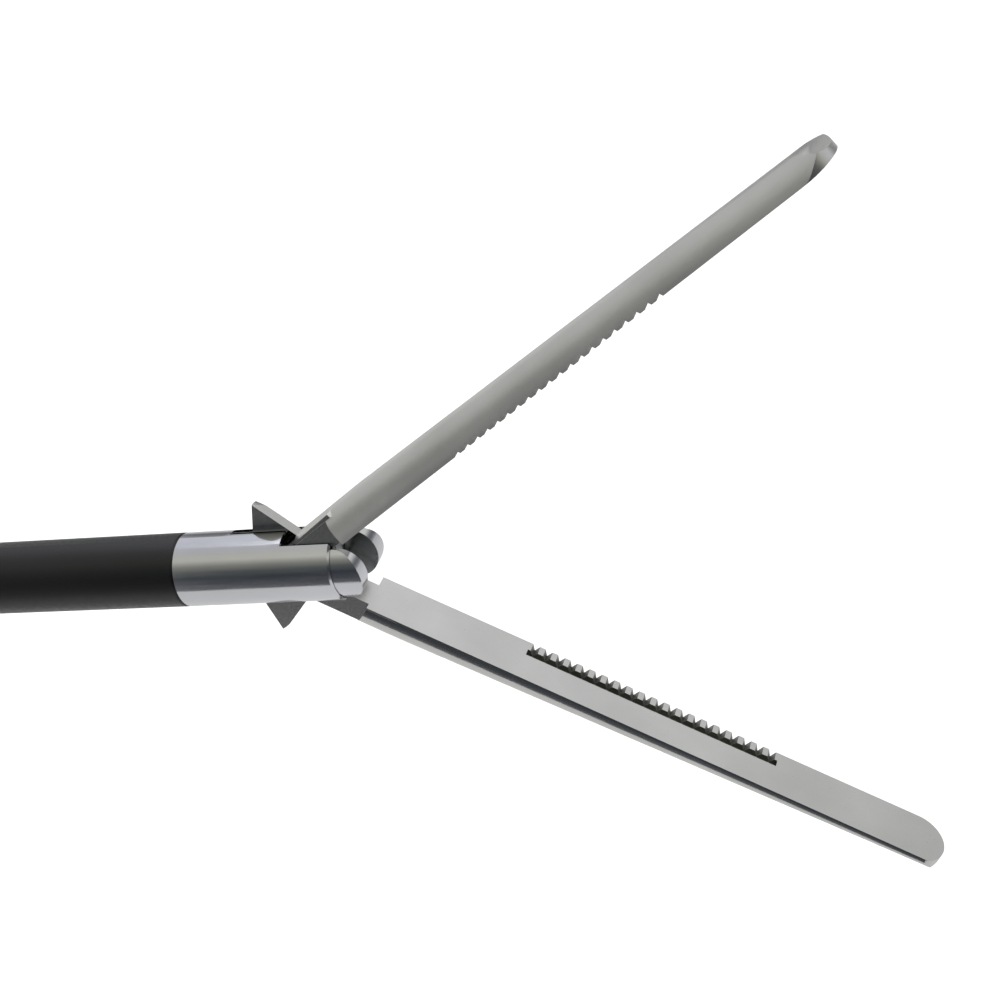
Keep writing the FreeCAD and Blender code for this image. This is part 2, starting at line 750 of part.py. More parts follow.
SCREWS = [
    (f"({NOSE} - 42)", "(0 - 2)"),
    (f"({NOSE} - 6)", "(0 - 12)"),
    (f"({RING_X})", "(0 - 42)"),
    (f"({RING_X})", "(0 - finger_ring_drop - hole_half_height - ring_wall / 2)"),
]


def stadium(drawing, x, z, half_width, half_height):
    """An upright oval of two half circles and two straight sides."""
    rise = f"({half_height} - {half_width})"
    outline(drawing, [
        (f"{x} - {half_width}", f"{z} - {rise}"),
        (f"{x} + {half_width}", f"{z} - {rise}", "left", "y", f"{z} - {rise}"),
        (f"{x} + {half_width}", f"{z} + {rise}"),
        (f"{x} - {half_width}", f"{z} + {rise}", "left", "y", f"{z} + {rise}"),
    ])


def make_shell(name, near):
    """One moulded half. The near half lies towards -Y, the far half towards +Y."""
    made = body(name)
    away = not near
    drawing = sketch(made, "housing", "XZ_Plane")
    outline(drawing, [
        (NOSE, "0 - housing_top"),
        (NOSE, "housing_top - 1.5"),
        (f"{NOSE} - 1.5", "housing_top"),
        (f"{NOSE} - housing_length + 6", "housing_top"),
        (f"{NOSE} - housing_length", "housing_top - 7"),
        (f"{NOSE} - housing_length", "0 - 8"),
        (f"{NOSE} - housing_length + 4", "0 - housing_drop + 2"),
        (f"{NOSE} - 6", "0 - housing_drop"),
    ])
    feature(made, "Pad", "housing_pad", drawing, "shell_half_width", back=away)
    drawing = sketch(made, "stalk", "XZ_Plane")
    outline(drawing, [
        (f"{RING_X} - stalk_half_width", "0 - housing_drop + 3"),
        (f"{RING_X} - stalk_half_width", "0 - finger_ring_drop + hole_half_height + ring_wall / 2"),
        (f"{RING_X} + stalk_half_width", "0 - finger_ring_drop + hole_half_height + ring_wall / 2"),
        (f"{RING_X} + stalk_half_width + 2", "0 - housing_drop + 4"),
    ])
    feature(made, "Pad", "stalk_pad", drawing, "grip_half_width", back=away)
    drawing = sketch(made, "ring", "XZ_Plane")
    stadium(drawing, RING_X, RING_Z, "(hole_half_width + ring_wall)", "(hole_half_height + ring_wall)")
    stadium(drawing, RING_X, RING_Z, "hole_half_width", "hole_half_height")
    feature(made, "Pad", "ring_pad", drawing, "grip_half_width", back=away)

    # room for the spindle's flange and gland, then for the lever
    drawing = sketch(made, "spindle_room", "XZ_Plane")
    rear = f"({NUT_BACK} - 1)"
    outline(drawing, [
        (rear, "0"),
        (f"{NOSE} + 1", "0"),
        (f"{NOSE} + 1", "spindle_radius + running_fit"),
        (f"{NOSE} - nose_wall", "spindle_radius + running_fit"),
        (f"{NOSE} - nose_wall", "flange_radius + flange_play"),
        (f"{FLANGE_BACK} - flange_play", "flange_radius + flange_play"),
        (f"{FLANGE_BACK} - flange_play", "spindle_radius + flange_play * 2"),
        (rear, "spindle_radius + flange_play * 2"),
    ])
    feature(made, "Groove", "spindle_room_cut", drawing)
    drawing = sketch(made, "lever_room", "XZ_Plane")
    outline(drawing, [
        (f"{NUT_BACK}", "housing_top - 3"),
        (f"{NOSE} - housing_length + 8", "housing_top - 3"),
        (f"{NOSE} - housing_length + 8", "4 - housing_drop"),
        (f"{NOSE} - housing_length + 5", "0 - housing_drop - 1"),
        (f"{AXLE_X} + 2", "0 - housing_drop - 1"),
        (f"{NUT_BACK}", "0 - lever_arm - 4"),
    ])
    feature(made, "Pocket", "lever_room_cut", drawing, CAVITY, back=not away)

    way = -1 if near else 1
    shell = way * size("shell_half_width")
    dress(made, "Fillet", "housing_edge", "soft_edge", lambda e: flat_at(e, "Y", shell))
    grip = way * size("grip_half_width")
    below = -size("housing_drop + 1")
    dress(made, "Fillet", "grip_edge", "soft_edge",
          lambda e: flat_at(e, "Y", grip) and e.BoundBox.ZMin < below)

    drawing = sketch(made, "leaf_room", "XZ_Plane")
    rectangle(drawing, f"{NUT_BACK} - 1", f"{FLANGE_BACK} - flange_play", "0", f"{LEAF_TOP} + 0.3")
    feature(made, "Pocket", "leaf_room_cut", drawing, "leaf_half_width + 0.2", back=not away)

    # axle seat, screw holes and the post's hole on the split line
    drawing = sketch(made, "axle_seat", "XZ_Plane")
    circle(drawing, "axle_radius + seat_fit", AXLE_X, AXLE_Z)
    feature(made, "Pocket", "axle_seat_cut", drawing, "axle_half_length + seat_fit", back=not away)
    for number, (x, z) in enumerate(SCREWS, start=1):
        drawing = sketch(made, f"screw_{number}", "XZ_Plane")
        circle(drawing, "screw_radius + seat_fit", x, z)
        if near:
            feature(made, "Pocket", f"screw_cut_{number}", drawing, through=True, back=True)
            surface = "shell_half_width" if number < 3 else "grip_half_width"
            drawing = sketch(made, f"head_{number}", "XZ_Plane", surface)
            circle(drawing, "screw_head_radius + seat_fit", x, z)
            feature(made, "Pocket", f"head_cut_{number}", drawing, "screw_head_height")
        else:
            depth = f"(screw_length - {'shell_half_width' if number < 3 else 'grip_half_width'} + screw_head_height)"
            feature(made, "Pocket", f"screw_cut_{number}", drawing, f"{depth} + 0.3", back=False)
    drawing = sketch(made, "post_hole", "XY_Plane", "housing_top / 2")
    circle(drawing, "post_shank_radius + seat_fit", POST_X)
    feature(made, "Pocket", "post_hole_cut", drawing, "housing_top", back=True)
    return made


def make_screws():
    """Four identical screws with flat sunk heads, all one node of separate solids."""
    made = []
    for number, (x, z) in enumerate(SCREWS, start=1):
        screw = body(f"screw_{number}")
        surface = "shell_half_width" if number < 3 else "grip_half_width"
        drawing = sketch(screw, "head", "XZ_Plane", f"{surface} - screw_head_height")
        circle(drawing, "screw_head_radius", x, z)
        feature(screw, "Pad", "head_pad", drawing, "screw_head_height - 0.2")
        drawing = sketch(screw, "shank", "XZ_Plane", f"{surface} - screw_head_height")
        circle(drawing, "screw_radius", x, z)
        feature(screw, "Pad", "shank_pad", drawing, "screw_length", back=True)
        drawing = sketch(screw, "drive", "XZ_Plane", f"{surface} - 0.2")
        circle(drawing, "screw_radius * 0.7", x, z)
        feature(screw, "Pocket", "drive_cut", drawing, "screw_head_height / 2")
        made.append(screw)
    group = doc.addObject("Part::Compound", "handle_screws")
    group.Label = "handle_screws"
    group.Links = made
    doc.recompute()
    return group


def make_lever():
    """Drawn about the axle with the ball's pocket upright, then leant to the open pose."""
    made = body("thumb_lever")
    drawing = sketch(made, "head", "XZ_Plane")
    top = "(lever_arm + head_crown)"
    outline(drawing, [
        ("0 - head_half_length", "0"),
        ("head_half_length", "0", "left", "y", "0"),
        ("head_half_length", top),
        ("0 - head_half_length", top),
    ])
    feature(made, "Pad", "head_pad", drawing, "2 * lever_half_width", both=True)
    ring_x = "(0 - lever_length * sin(lever_lean * 1 deg))"
    ring_z = "(0 - lever_length * cos(lever_lean * 1 deg))"
    drawing = sketch(made, "stalk", "XZ_Plane")
    outline(drawing, [
        ("0 - head_half_length", "0"),
        (f"{ring_x} - 2", f"{ring_z} + hole_half_height + ring_wall / 2"),
        (f"{ring_x} + 6", f"{ring_z} + hole_half_height + ring_wall / 2"),
        ("head_half_length - 1", "0"),
    ])
    feature(made, "Pad", "stalk_pad", drawing, "2 * lever_half_width - 1", both=True)
    drawing = sketch(made, "ring", "XZ_Plane")
    stadium(drawing, ring_x, ring_z, "(hole_half_width + ring_wall)", "(hole_half_height + ring_wall)")
    stadium(drawing, ring_x, ring_z, "hole_half_width", "hole_half_height")
    feature(made, "Pad", "ring_pad", drawing, "2 * lever_half_width - 1", both=True)
    outer = size("lever_half_width - 0.5")
    below = size(f"{ring_z} + hole_half_height + ring_wall + edge_break")
    dress(made, "Fillet", "grip_edge", "soft_edge",
          lambda e: (flat_at(e, "Y", outer) or flat_at(e, "Y", -outer)) and e.BoundBox.ZMax < below)
    drawing = sketch(made, "axle_hole", "XZ_Plane")
    circle(drawing, "bush_radius + seat_fit")
    feature(made, "Pocket", "axle_hole_cut", drawing, both=True, through=True)
    drawing = sketch(made, "seat_room", "XY_Plane", "lever_arm - ball_radius - seat_floor")
    rectangle(drawing, "0 - seat_half_length", "seat_half_length", "0 - seat_half_width", "seat_half_width")
    feature(made, "Pocket", "seat_room_cut", drawing, through=True, back=True)
    drawing = sketch(made, "rod_slot", "YZ_Plane")
    slot_low = "(lever_arm - rod_slot_drop)"
    rectangle(drawing, "0 - rod_slot_half", "rod_slot_half", slot_low, f"{top} + 1")
    feature(made, "Pocket", "rod_slot_cut", drawing, through=True, back=True)

    seat = body("ball_seat")
    drawing = sketch(seat, "block", "XY_Plane", "lever_arm - ball_radius - seat_floor + seat_fit")
    rectangle(drawing, "seat_fit - seat_half_length", "seat_half_length - seat_fit",
              "seat_fit - seat_half_width", "seat_half_width - seat_fit")
    feature(seat, "Pad", "block_pad", drawing, "ball_radius + seat_floor + head_crown - seat_fit")
    drawing = sketch(seat, "pocket", "XY_Plane", "lever_arm - ball_radius - ball_play")
    circle(drawing, "ball_radius + ball_play")
    feature(seat, "Pocket", "pocket_cut", drawing, through=True, back=True)
    drawing = sketch(seat, "rod_slot", "YZ_Plane")
    rectangle(drawing, "0 - rod_slot_half", "rod_slot_half", slot_low, f"{top} + 1")
    feature(seat, "Pocket", "rod_slot_cut", drawing, through=True, back=True)

    lean = math.degrees(size("rod_travel / lever_arm")) / 2
    for part in (made, seat):
        part.Placement = FreeCAD.Placement(
            V(size(AXLE_X), 0, size(AXLE_Z)), FreeCAD.Rotation(V(0, 1, 0), lean))
    return made, seat


def make_bushes():
    """Two flanged bushes, one from each side of the lever."""
    made = []
    for side, near in (("near", True), ("far", False)):
        bush = body(f"bush_{side}")
        drawing = sketch(bush, "barrel", "XZ_Plane", "0.2" if near else "0 - 0.2")
        circle(drawing, "bush_radius", AXLE_X, AXLE_Z)
        circle(drawing, "axle_radius + running_fit", AXLE_X, AXLE_Z)
        feature(bush, "Pad", "barrel_pad", drawing, "lever_half_width - 0.2", back=not near)
        drawing = sketch(bush, "flange", "XZ_Plane", "lever_half_width" if near else "0 - lever_half_width")
        circle(drawing, "bush_flange_radius", AXLE_X, AXLE_Z)
        circle(drawing, "axle_radius + running_fit", AXLE_X, AXLE_Z)
        feature(bush, "Pad", "flange_pad", drawing, "bush_flange", back=not near)
        made.append(bush)
    group = doc.addObject("Part::Compound", "axle_bushes")
    group.Label = "axle_bushes"
    group.Links = made
    doc.recompute()
    return group


def make_post():
    """Connector post with its collar, the insulator under it and the contact leaf inside."""
    post = body("hf_post")
    steps = [
        ("stud", LEAF_TOP + " - 2 * leaf_thickness", "post_stud_radius", "3 * leaf_thickness"),
        ("shank", LEAF_TOP, "post_shank_radius", f"{INSULATOR_TOP} - {LEAF_TOP}"),
        ("collar", INSULATOR_TOP, "post_collar_radius", "post_collar_height"),
        ("pin", f"{INSULATOR_TOP} + post_collar_height", "post_radius", "post_height"),
    ]
    for name, low, radius, height in steps:
        drawing = sketch(post, name, "XY_Plane", low)
        circle(drawing, radius, POST_X)
        feature(post, "Pad", name + "_pad", drawing, height)
    crown = size(f"{INSULATOR_TOP} + post_collar_height + post_height")
    dress(post, "Chamfer", "crown", "post_radius / 4", lambda e: flat_at(e, "Z", crown))
    insulator = body("hf_insulator")
    drawing = sketch(insulator, "ring", "XY_Plane", "housing_top")
    circle(drawing, "insulator_radius", POST_X)
    circle(drawing, "post_shank_radius + seat_fit", POST_X)
    feature(insulator, "Pad", "pad", drawing, "insulator_height")
    leaf = body("contact_spring")
    drawing = sketch(leaf, "strip", "XZ_Plane")
    low = f"({LEAF_TOP} - leaf_thickness)"
    touch = "(spindle_radius + running_fit)"
    front = f"({FLANGE_BACK} - 1)"
    bend = f"({SPINDLE_BACK} - 2.5)"
    outline(drawing, [
        (f"{POST_X} - 3", low),
        (bend, low),
        (f"{SPINDLE_BACK} + 0.5", touch),
        (front, touch),
        (front, f"{touch} + leaf_thickness"),
        (f"{SPINDLE_BACK} + 0.4", f"{touch} + leaf_thickness"),
        (bend, LEAF_TOP),
        (f"{POST_X} - 3", LEAF_TOP),
    ])
    feature(leaf, "Pad", "strip_pad", drawing, "2 * leaf_half_width", both=True)
    drawing = sketch(leaf, "hole", "XY_Plane")
    circle(drawing, "post_stud_radius + seat_fit", POST_X)
    feature(leaf, "Pocket", "hole_cut", drawing, through=True, back=True)
    return post, insulator, leaf


nodes = [
    open_jaw("upper_jaw", True),
    open_jaw("lower_jaw", False),
    make_fork(),
    make_sleeve(),
    cross_pin("jaw_pivot_pin", "pivot_pin_radius", f"({FORK_RADIUS} - 4 * seat_fit)", PIVOT),
    cross_pin("drive_pin", "drive_pin_radius", f"({PLATE_OUTER} - running_fit)", DRIVE_PIN),
    *make_drive(),
    *make_shaft(),
    make_collar(),
    *make_spindle(),
    *make_knob(),
    make_shell("handle_left", True),
    make_shell("handle_right", False),
    make_screws(),
    *make_lever(),
    cross_pin("lever_axle", "axle_radius", "axle_half_length", AXLE_X, AXLE_Z),
    make_bushes(),
    *make_post(),
]
doc.recompute()

for item in doc.Objects:
    if "Invalid" in item.State or "Error" in item.State:
        raise RuntimeError(f"{item.Name} is {item.State}")
os.makedirs("parts", exist_ok=True)
for node in nodes:
    shape = node.Shape
    if shape.isNull() or not shape.isValid():
        raise RuntimeError(f"{node.Label} has no valid shape")
    shape.exportStep(os.path.join("parts", node.Label + ".step"))
    box = shape.BoundBox
    print(f"{node.Label:18s} solids {len(shape.Solids)} volume {shape.Volume:10.3f} "
          f"x {box.XMin:8.2f} {box.XMax:8.2f} y {box.YMin:6.2f} {box.YMax:6.2f} "
          f"z {box.ZMin:7.2f} {box.ZMax:7.2f}")
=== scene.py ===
"""Looks of the laparoscopic grasper: finishes, floor, light and the photograph's view."""

import json
import math

import bmesh
import bpy
from mathutils import Matrix, Vector


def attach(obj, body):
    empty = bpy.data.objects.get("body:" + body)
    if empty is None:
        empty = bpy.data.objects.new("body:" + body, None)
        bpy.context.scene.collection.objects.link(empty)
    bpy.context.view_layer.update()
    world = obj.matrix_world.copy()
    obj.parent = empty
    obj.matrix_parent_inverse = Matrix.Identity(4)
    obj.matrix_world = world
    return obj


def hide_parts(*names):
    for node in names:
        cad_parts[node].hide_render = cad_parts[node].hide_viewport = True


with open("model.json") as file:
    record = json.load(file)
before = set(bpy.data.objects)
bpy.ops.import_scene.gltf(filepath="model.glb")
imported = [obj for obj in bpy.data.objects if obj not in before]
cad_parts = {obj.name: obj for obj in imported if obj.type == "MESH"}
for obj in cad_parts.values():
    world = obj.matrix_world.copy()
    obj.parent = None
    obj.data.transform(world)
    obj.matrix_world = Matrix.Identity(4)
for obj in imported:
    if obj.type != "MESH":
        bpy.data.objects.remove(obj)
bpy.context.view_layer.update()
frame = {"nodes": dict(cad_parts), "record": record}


def linear(text):
    """A colour written as sRGB hex, as linear values with full opacity."""
    parts = [int(text[k:k + 2], 16) / 255 for k in (1, 3, 5)]
    lit = [c / 12.92 if c <= 0.04045 else ((c + 0.055) / 1.055) ** 2.4 for c in parts]
    return tuple(lit) + (1.0,)


def node(tree, kind, links=(), **values):
    """Adds one node: plain names are its settings, in_NAME its sockets, links wire inputs."""
    made = tree.nodes.new(kind)
    for name, value in values.items():
        if name.startswith("in_"):
            made.inputs[name[3:].replace("_", " ")].default_value = value
        else:
            setattr(made, name, value)
    for socket, source in links:
        tree.links.new(source, made.inputs[socket])
    return made


def start(name, **values):
    """A material with only its shader and output, and the place on the object in metres."""
    made = bpy.data.materials.new(name)
    made.use_nodes = True
    tree = made.node_tree
    tree.nodes.clear()
    shader = node(tree, "ShaderNodeBsdfPrincipled", **values)
    node(tree, "ShaderNodeOutputMaterial", [("Surface", shader.outputs[0])])
    place = node(tree, "ShaderNodeTexCoord")
    return made, tree, shader, place.outputs["Object"]


def ramp(tree, source, stops):
    """A colour or value ramp over stops of (place, colour)."""
    made = node(tree, "ShaderNodeValToRGB", [("Fac", source)])
    band = made.color_ramp
    while len(band.elements) < len(stops):
        band.elements.new(0.5)
    for element, (at, colour) in zip(band.elements, stops):
        element.position = at
        element.color = colour
    return made.outputs["Color"]


def grey(value):
    """One linear value as a colour."""
    return (value, value, value, 1.0)


# Every pattern runs between these two levels of its noise, where most of the noise lies.
LOW_LEVEL = 0.3
HIGH_LEVEL = 0.7
METAL_CLOUD_MM = 6.0
PLASTIC_CLOUD_MM = 9.0
ROUGH_SPREAD = 0.06
MARK_STRENGTH = 0.25
GRAIN_STRENGTH = 0.3


def metal(name, colour, dark, rough_low, rough_high, stretch, grain_mm, depth_mm):
    """Steel or bronze: fine marks along one way, faint clouds in tone and roughness."""
    made, tree, shader, place = start(name, in_Metallic=1.0)
    along = node(tree, "ShaderNodeMapping", [("Vector", place)], in_Scale=stretch)
    marks = node(tree, "ShaderNodeTexNoise", [("Vector", along.outputs[0])],
                 in_Scale=1000 / grain_mm, in_Detail=4.0, in_Roughness=0.6)
    cloud = node(tree, "ShaderNodeTexNoise", [("Vector", place)],
                 in_Scale=1000 / METAL_CLOUD_MM, in_Detail=3.0)
    tone = ramp(tree, cloud.outputs[0], [(LOW_LEVEL, linear(dark)), (HIGH_LEVEL, linear(colour))])
    rough = ramp(tree, marks.outputs[0],
                 [(LOW_LEVEL, grey(rough_low)), (HIGH_LEVEL, grey(rough_high))])
    bump = node(tree, "ShaderNodeBump", [("Height", marks.outputs[0])],
                in_Strength=MARK_STRENGTH, in_Distance=depth_mm / 1000)
    tree.links.new(tone, shader.inputs["Base Color"])
    tree.links.new(rough, shader.inputs["Roughness"])
    tree.links.new(bump.outputs[0], shader.inputs["Normal"])
    return made


def plastic(name, colour, dark, rough, grain_mm, depth_mm):
    """Moulded plastic or rubber: a fine even grain over a slow change of tone."""
    made, tree, shader, place = start(name)
    grain = node(tree, "ShaderNodeTexNoise", [("Vector", place)],
                 in_Scale=1000 / grain_mm, in_Detail=3.0)
    cloud = node(tree, "ShaderNodeTexNoise", [("Vector", place)],
                 in_Scale=1000 / PLASTIC_CLOUD_MM, in_Detail=2.0)
    tone = ramp(tree, cloud.outputs[0], [(LOW_LEVEL, linear(dark)), (HIGH_LEVEL, linear(colour))])
    tree.links.new(tone, shader.inputs["Base Color"])
    spread = ramp(tree, grain.outputs[0],
                  [(LOW_LEVEL, grey(rough - ROUGH_SPREAD)),
                   (HIGH_LEVEL, grey(rough + ROUGH_SPREAD))])
    tree.links.new(spread, shader.inputs["Roughness"])
    bump = node(tree, "ShaderNodeBump", [("Height", grain.outputs[0])],
                in_Strength=GRAIN_STRENGTH, in_Distance=depth_mm / 1000)
    tree.links.new(bump.outputs[0], shader.inputs["Normal"])
    return made


# Marks drawn out along the shaft, as turning and drawing leave them, or the same all ways.
ALONG = (0.06, 1.0, 1.0)
EVEN = (1.0, 1.0, 1.0)
# Of each: name, colour, darker colour, lowest and highest roughness, way of the marks, and
# in millimetres the marks' width and depth. The marks are drawn coarser than real ones.
LOOKS = {
    # stainless steel, turned and polished: mirrors the room in long bands
    "polished_steel": metal("polished_stainless_steel", "#d9dadd", "#cfd0d2", 0.10, 0.18,
                            ALONG, 0.25, 0.002),
    # stainless steel, bead-blasted and lightly brushed: an even soft grey
    "satin_steel": metal("satin_stainless_steel", "#dcdcd8", "#cfcfcb", 0.27, 0.38,
                         EVEN, 0.12, 0.005),
    # stainless steel in the tooth groove and on the teeth: duller than the blasted faces, its
    # darker colour painted shade of the groove
    "groove_shade_steel": metal("tooth_groove_steel_painted_shade", "#94948f", "#7d7d79", 0.38, 0.50,
                       EVEN, 0.1, 0.004),
    # the jaw's plain long edge, buffed round: mirrors the dark front of the room in a line
    "eased_steel": metal("buffed_stainless_edge", "#d6d6d3", "#cdcdca", 0.14, 0.20,
                         EVEN, 0.2, 0.002),
    # the jaw's plate and tail, ground flat: smooth enough to show the dark front, with a darker
    # colour that is painted shade
    "ground_steel_with_painted_shade": metal("ground_plate_steel_painted_shade", "#b4b4b2", "#a6a6a4", 0.14, 0.22,
                          EVEN, 0.15, 0.002),
    # bronze bushes and contact, turned: warm, with a soft shine
    "bronze": metal("plain_bronze", "#b98a54", "#a37743", 0.28, 0.40, EVEN, 0.2, 0.004),
    # polyolefin tube shrunk on the shaft: black, a little glossy
    "insulation": plastic("black_shrink_insulation", "#17181a", "#101113", 0.38, 0.3, 0.006),
    # glass-filled nylon, moulded in a sparked mould: black, matt
    "black_plastic": plastic("black_moulded_nylon", "#1c1d1f", "#151618", 0.46, 0.35, 0.02),
    # smooth moulded polymer: mid grey, half matt
    "grey_plastic": plastic("grey_moulded_polymer", "#6d7074", "#63666a", 0.42, 0.35, 0.015),
    # machined fluoropolymer: waxy white
    "ptfe": plastic("white_fluoropolymer", "#e6e6e2", "#dcdcd8", 0.40, 0.3, 0.004),
    # moulded silicone rubber: dull red-brown
    "silicone": plastic("red_brown_silicone", "#8a4a36", "#7c4030", 0.55, 0.3, 0.01),
}
for entry in frame["record"]["subparts"]:
    shown = frame["nodes"][entry["node"]]
    shown.data.materials.clear()
    shown.data.materials.append(LOOKS[entry["material_slot"]])
    for face in shown.data.polygons:
        face.material_index = 0

# The jaws as they stand open at rest, in metres and as distances from their pin. These
# are the sizes in the part's source.
OPEN = math.radians(32.5)
PIVOT = Vector((-0.0027, 0.0, 0.0))
JAW_ROOT = 0.0045
KNEE = 0.0075
NOSE_START = 0.0437
BACK_DEPTHS = (0.0020, 0.00125)
HALF_WIDTH = 0.0020
FACE_SET = 0.00005
# Where the tooth row lies: along the jaw, out from its middle, and below the gripping face.
ROW_REACH = (0.0154, 0.0338)
ROW_SIDE = 0.00065
ROW_DEPTH = (0.00008, 0.0006)
# The round of the plain long edge, from below the widest line up to the gripping face.
NEAR_HALF = 0.0004
ROUND_SIDE = 0.0011
LOW = math.radians(53)
TOP = math.radians(28)
ROUND_STEPS = 14
# Small distances and angles for telling what lies on what.
MERGE = 2e-6
CUT = 1e-6
ON_ROUND = 5e-6
ON_FACE = 4e-6
ANGLE_ROOM = 0.02
FACE_ANGLE_ROOM = 0.05
SHARP = math.radians(25)
# How far a face's normal lies along a direction, from 0 for square to it to 1.
TURNED_IN = -0.05
END_FACE = 0.5
PLATE_FACE = 0.9
FLAT_FACE = 0.9995


def mark_tooth_row(work, side, along, out_of_face):
    """Gives the faces of the groove and of the teeth the second material, duller steel darkened
    with painted shade.
    """
    for face in work.faces:
        centre = face.calc_center_median()
        reach = (centre - PIVOT).dot(along)
        depth = -(centre - PIVOT).dot(out_of_face)
        in_row = ROW_REACH[0] < reach < ROW_REACH[1] and -side * centre.y > ROW_SIDE
        sunk = ROW_DEPTH[0] < depth < ROW_DEPTH[1]
        if in_row and sunk and face.normal.dot(out_of_face) > TURNED_IN:
            face.material_index = 1


def round_at(reach):
    """Middle (outward, up) and radius of the edge's round, which follow the back's depth."""
    share = min(max((reach - KNEE) / (NOSE_START - KNEE), 0.0), 1.0)
    deep = BACK_DEPTHS[0] + (BACK_DEPTHS[1] - BACK_DEPTHS[0]) * share
    low = math.atan(math.tan(LOW) * deep / HALF_WIDTH)
    touch = Vector((-HALF_WIDTH * math.cos(low), -FACE_SET - deep * math.sin(low)))
    size = (-touch.y - FACE_SET) / (math.sin(LOW) + math.sin(TOP))
    return touch + Vector((size * math.cos(LOW), size * math.sin(LOW))), size


def cut_for_round(work, side, along, out_of_face):
    """Cuts the near half by planes fanned out from the middle line of the round."""
    middles = [(reach, round_at(reach)[0]) for reach in (KNEE, NOSE_START)]
    ends = [PIVOT + along * reach + Vector((0.0, -side * middle.x, 0.0)) + out_of_face * middle.y
            for reach, middle in middles]
    middle_line = (ends[1] - ends[0]).normalized()
    across = Vector((0.0, side, 0.0))
    bmesh.ops.bisect_plane(work, geom=list(work.faces) + list(work.edges) + list(work.verts),
                           dist=CUT, plane_co=across * NEAR_HALF, plane_no=across)
    for step in range(ROUND_STEPS + 1):
        turn = -LOW + (TOP + LOW) * step / ROUND_STEPS
        spoke = across * math.cos(turn) + out_of_face * math.sin(turn)
        near = [face for face in work.faces
                if all(side * corner.co.y > NEAR_HALF - MERGE for corner in face.verts)
                and any(side * corner.co.y > ROUND_SIDE
                        and (corner.co - PIVOT).dot(along) > JAW_ROOT for corner in face.verts)]
        edges = {edge for face in near for edge in face.edges}
        corners = {corner for face in near for corner in face.verts}
        bmesh.ops.bisect_plane(work, geom=near + list(edges) + list(corners), dist=CUT,
                               plane_co=ends[0], plane_no=spoke.cross(middle_line))


def draw_in(work, side, along, out_of_face):
    """Moves every point outside the round onto it, and returns the points of the round."""
    on_round = set()
    for corner in work.verts:
        from_pin = corner.co - PIVOT
        reach = from_pin.dot(along)
        if reach < JAW_ROOT:
            continue
        middle, size = round_at(reach)
        wide = side * corner.co.y + middle.x
        over = from_pin.dot(out_of_face) - middle.y
        turn = math.atan2(over, wide)
        far = math.hypot(over, wide)
        if -LOW - ANGLE_ROOM < turn < TOP + ANGLE_ROOM and far > size - ON_ROUND:
            on_face = (abs(over - size * math.sin(TOP)) < ON_FACE
                       and turn > TOP - FACE_ANGLE_ROOM)
            pull = 0.0 if on_face else size / far - 1
            corner.co += out_of_face * over * pull + Vector((0.0, side * wide * pull, 0.0))
            on_round.add(corner)
    return on_round


def mark_round_and_plate(work, on_round, along):
    """Third material for the round, with sharp borders, and the fourth, steel darkened with
    painted shade, for plate and tail.
    """
    work.normal_update()
    eased = {face for face in work.faces
             if all(corner in on_round for corner in face.verts)
             and abs(face.normal.dot(along)) < END_FACE}
    for face in work.faces:
        reach = (face.calc_center_median() - PIVOT).dot(along)
        if face in eased:
            face.material_index = 2
            for edge in face.edges:
                if any(other not in eased for other in edge.link_faces):
                    edge.smooth = False
        elif reach < JAW_ROOT and abs(face.normal.y) > PLATE_FACE:
            face.material_index = 3


def shade(mesh, out_of_face):
    """Flat faces flat, round ones smooth, and a sharp edge wherever the surface turns."""
    # the CAD's stored corner normals no longer hold once the edge is reshaped
    stored = mesh.attributes.get("custom_normal")
    if stored:
        mesh.attributes.remove(stored)
    borders = [edge.index for edge in mesh.edges if edge.use_edge_sharp]
    for face in mesh.polygons:
        face.use_smooth = (abs(face.normal.dot(out_of_face)) < FLAT_FACE
                           and abs(face.normal.y) < FLAT_FACE)
    mesh.set_sharp_from_angle(angle=SHARP)
    for index in borders:
        mesh.edges[index].use_edge_sharp = True


def dressed_jaw(name, body, side):
    """The jaw with its plain long edge buffed round, its groove and teeth darkened with painted
    shade, and its plate ground and darkened with painted shade.

    side is -1 for the lower jaw and 1 for the upper one, which is the same piece turned over."""
    along = Vector((math.cos(OPEN), 0.0, side * math.sin(OPEN)))
    out_of_face = Vector((math.sin(OPEN), 0.0, -side * math.cos(OPEN)))
    work = bmesh.new()
    work.from_mesh(frame["nodes"][name].data)
    bmesh.ops.remove_doubles(work, verts=work.verts, dist=MERGE)
    mark_tooth_row(work, side, along, out_of_face)
    cut_for_round(work, side, along, out_of_face)
    mark_round_and_plate(work, draw_in(work, side, along, out_of_face), along)
    mesh = bpy.data.meshes.new(name + "_dressed")
    work.to_mesh(mesh)
    work.free()
    # the second and the fourth of these are steel darkened with painted shade
    for jaw_look in ("satin_steel", "groove_shade_steel", "eased_steel", "ground_steel_with_painted_shade"):
        mesh.materials.append(LOOKS[jaw_look])
    shade(mesh, out_of_face)
    made = bpy.data.objects.new(name + "_dressed", mesh)
    bpy.context.scene.collection.objects.link(made)
    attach(made, body)
    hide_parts(name)


dressed_jaw("lower_jaw", "lower", -1.0)
dressed_jaw("upper_jaw", "upper", 1.0)

FLOOR_LEVEL = -0.16
FLOOR_HALF_WIDTH = 3.0
FLOOR_FRONT = -0.2
FLOOR_BACK = 3.0
FLOOR_GLOW = 0.62
FLOOR_IN_STEEL = 0.15


